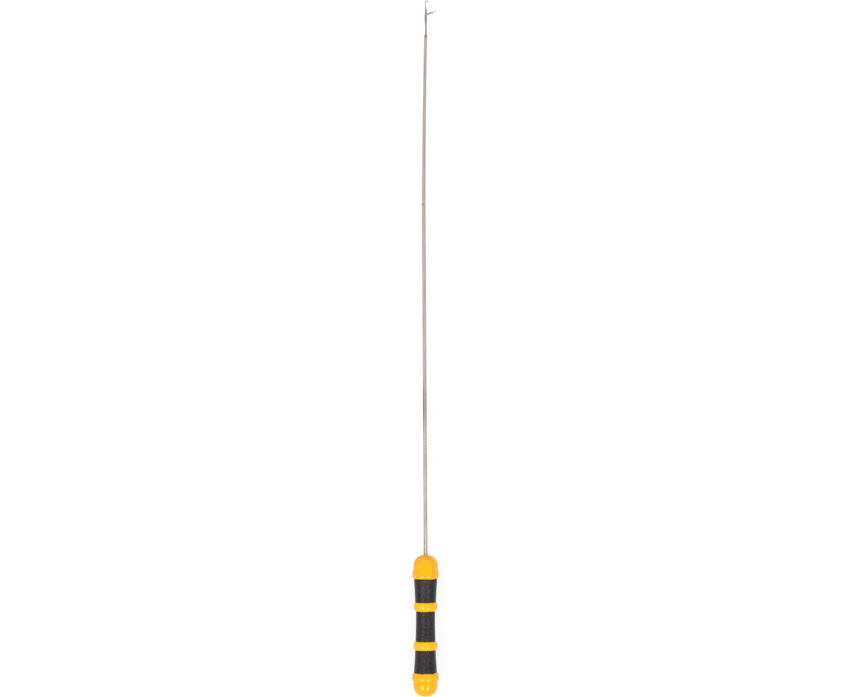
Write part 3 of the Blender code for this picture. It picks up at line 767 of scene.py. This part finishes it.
def make_latch(material):
    """Latch: round eye, flat arm that slims towards a spoon, and a cup pressed into the spoon's hook side.

    The arm bows away from the hook by a parabola. In the spoon the hook side is lowered by the cup's depth
    times a parabola across the width, so the rim stays up.
    """
    knots = [-0.076, -0.05, 0.0, 0.05, 0.10, 0.22, 0.33, 0.42, 0.52, 0.61, 0.70, 0.80, 0.90, 0.96, 1.0]
    width = [0.05, 0.25, 0.335, 0.33, 0.33, 0.34, 0.335, 0.315, 0.285, 0.255, 0.23, 0.21, 0.17, 0.11, 0.02]
    thick = [0.10, 0.10, 0.10, 0.10, 0.10, 0.10, 0.10, 0.10, 0.10, 0.12, 0.16, 0.24, 0.24, 0.18, 0.05]
    share = np.linspace(knots[0], 1.0, 150)
    half_width = np.clip(through(knots, width, share), 0.015, None)
    half_thickness = np.clip(through(knots, thick, share), 0.04, None)
    square = 2.3 + 3.4 / (1.0 + np.exp((share - 0.58) / 0.04))
    bow = np.where(share > 0.0, -4.0 * LATCH_BOW_MM * share * (1.0 - share), 0.0)
    grid = sections(LATCH_MM * share, np.zeros_like(share), np.zeros_like(share), half_width,
                    half_thickness, square, sides=40)
    cup = 0.17 * np.exp(-((share - 0.86) / 0.075) ** 4)[:, None]
    rise = np.clip(grid[..., 1] / half_width[:, None], 0.0, 1.0)
    hollow = 1.0 - (grid[..., 2] / half_thickness[:, None]) ** 2
    grid[..., 1] += bow[:, None] - cup * rise * np.clip(hollow, 0.0, 1.0)
    turn = np.array([[math.cos(LATCH_REST), math.sin(LATCH_REST)],
                     [-math.sin(LATCH_REST), math.cos(LATCH_REST)]])
    world = np.empty_like(grid)
    world[..., :2] = np.array(PIVOT[:2]) + grid[..., :2] @ turn * MM
    world[..., 2] = AXIS_Z + grid[..., 2] * MM
    piece = skin("latch_skin", world, material)
    carved(piece, [upright_pin("latch_hole_tool", RIVET_HOLE_MM, 1.0, material)])
    return placed(piece, "latch", body="latch")


def make_rivet(material):
    """Peened rivet: a pin with a low domed head on each cheek, turned about the pivot."""
    angles = np.linspace(0.0, 2.0 * math.pi, 40, endpoint=False)
    pin, head, seat = 0.11, 0.21, CHEEK_MM + 0.03
    bend = np.radians(np.linspace(0.0, 86.0, 14))
    dome_r, dome_z = head * np.cos(bend), seat + 0.065 * np.sin(bend)
    radius = np.concatenate([dome_r[::-1], [pin + 0.01, pin, pin, pin + 0.01], dome_r])
    height = np.concatenate([dome_z[::-1], [seat, seat - 0.02, 0.02 - seat, -seat], -dome_z])
    grid = np.stack([PIVOT[0] + radius[:, None] * np.cos(angles) * MM,
                     PIVOT[1] + radius[:, None] * np.sin(angles) * MM,
                     AXIS_Z + np.repeat(height[:, None], len(angles), axis=1) * MM], axis=-1)
    return placed(skin("latch_rivet_skin", grid, material), "latch_rivet")


def make_braze(material):
    """Braze fillet: a cone that hollows towards the stem, uneven as set metal is, leaning with the stem.

    Its radius falls from the tube's to the stem's as a logistic curve of the distance, plus a small ripple.
    """
    angles = np.linspace(-math.pi, math.pi, 64, endpoint=False)
    length, bore = 1.2, STEM_RADIUS_MM + 0.03
    share = np.linspace(0.0, 1.0, 30)
    radius = bore + 0.02 + (TUBE_MOUTH_RADIUS_MM - 0.02 - bore) / (1.0 + np.exp((share - 0.50) / 0.07))
    outer = radius[:, None] * (1.0 + 0.035 * wobble(angles, 5)[None, :] * np.sin(share * 5.0)[:, None])
    x = np.concatenate([0.03 + (length - 0.03) * share, [length, 0.03]])
    radius = np.vstack([outer, np.full((2, len(angles)), bore)])
    grid = np.stack([np.repeat(x[:, None], len(angles), axis=1),
                     STEM_LEAN * x[:, None] - radius * np.sin(angles), radius * np.cos(angles)], axis=-1)
    piece = skin("braze_collar_skin", on_needle(grid), material, ring=True)
    return placed(piece, "braze_collar")


def make_needle_end():
    """Tube, braze, needle, latch and rivet."""
    steel = pressed_needle_steel()
    make_tube(drawn_stainless())
    make_braze(browned_braze())
    make_needle(steel)
    make_latch(blanked_latch_steel())
    make_rivet(steel)


# ------------------------------------------------------------------ floor, light, camera

def make_floor():
    """A plain pale floor under the tool, which glows."""
    half = 3.0
    corners = np.array([[-half, -half, 0.0], [half, -half, 0.0], [half, half, 0.0], [-half, half, 0.0]])
    mesh = bpy.data.meshes.new("floor")
    mesh.from_pydata(corners.tolist(), [], [(0, 1, 2, 3)])
    mesh.materials.append(opal_light_table())
    floor = bpy.data.objects.new("floor", mesh)
    bpy.context.scene.collection.objects.link(floor)


def make_softbox(name, across_degrees, back_degrees, distance, width, length, power):
    """A rectangular light above the handle, leaning across the tool and back past the butt, facing it."""
    target = Vector((BUTT_X + 0.02, 0.0, AXIS_Z))
    tilt = Vector((-math.tan(math.radians(back_degrees)), -math.tan(math.radians(across_degrees)), 1.0))
    back = tilt.normalized()
    along = (Vector((1.0, 0.0, 0.0)) - back * back.x).normalized()
    light = bpy.data.lights.new(name, "AREA")
    light.shape = "RECTANGLE"
    light.size = width
    light.size_y = length
    light.energy = power
    lamp = bpy.data.objects.new(name, light)
    lamp.location = target + back * distance
    lamp.rotation_euler = Matrix((along.cross(back), along, back)).transposed().to_euler()
    bpy.context.scene.collection.objects.link(lamp)


def make_light():
    """A white room that is darker straight overhead, two softboxes along the handle that give the paired
    highlights, and a wide weak light beyond the needle that fills the slopes facing that way."""
    world = bpy.data.worlds.new("white_room")
    world.use_nodes = True
    tree = world.node_tree
    tree.nodes["Background"].inputs["Color"].default_value = (1.0, 1.0, 1.0, 1.0)
    upward = add(tree, "ShaderNodeSeparateXYZ", {"Vector": add(tree, "ShaderNodeTexCoord")}, out="Z")
    strength = add(tree, "ShaderNodeMapRange",
                   {"Value": upward, "From Min": 0.75, "From Max": 0.97, "To Min": 0.72, "To Max": 0.36},
                   interpolation_type="SMOOTHSTEP")
    tree.links.new(strength, tree.nodes["Background"].inputs["Strength"])
    bpy.context.scene.world = world
    make_softbox("softbox_left", -29.5, 25.5, 1.3, 0.32, 0.52, 8.8)
    make_softbox("softbox_right", 25.0, 25.5, 1.3, 0.30, 0.52, 7.2)
    make_softbox("fill", 0.0, -50.0, 1.7, 1.3, 0.9, 9.0)
    bpy.context.scene.view_settings.view_transform = "Standard"


def make_camera():
    """Straight down on the tool with the hook at the top of the view, from 4.4 tool lengths away. The view is
    as tall as the tool is long, and a thousandth more."""
    tool_length = CAD_HIGH.x - CAD_LOW.x
    distance = 4.4 * tool_length
    view_width = 1.001 * tool_length * 852.0 / 697.0
    camera = bpy.data.cameras.new("camera")
    camera.sensor_width = 36.0
    camera.lens = camera.sensor_width * distance / view_width
    holder = bpy.data.objects.new("camera", camera)
    holder.location = ((CAD_HIGH.x + CAD_LOW.x) / 2.0 - 0.08 * MM, -0.04 * MM, AXIS_Z + distance)
    holder.rotation_euler = (0.0, 0.0, math.radians(-89.92))
    bpy.context.scene.collection.objects.link(holder)
    bpy.context.scene.camera = holder


make_handle()
make_needle_end()
make_floor()
make_light()
make_camera()
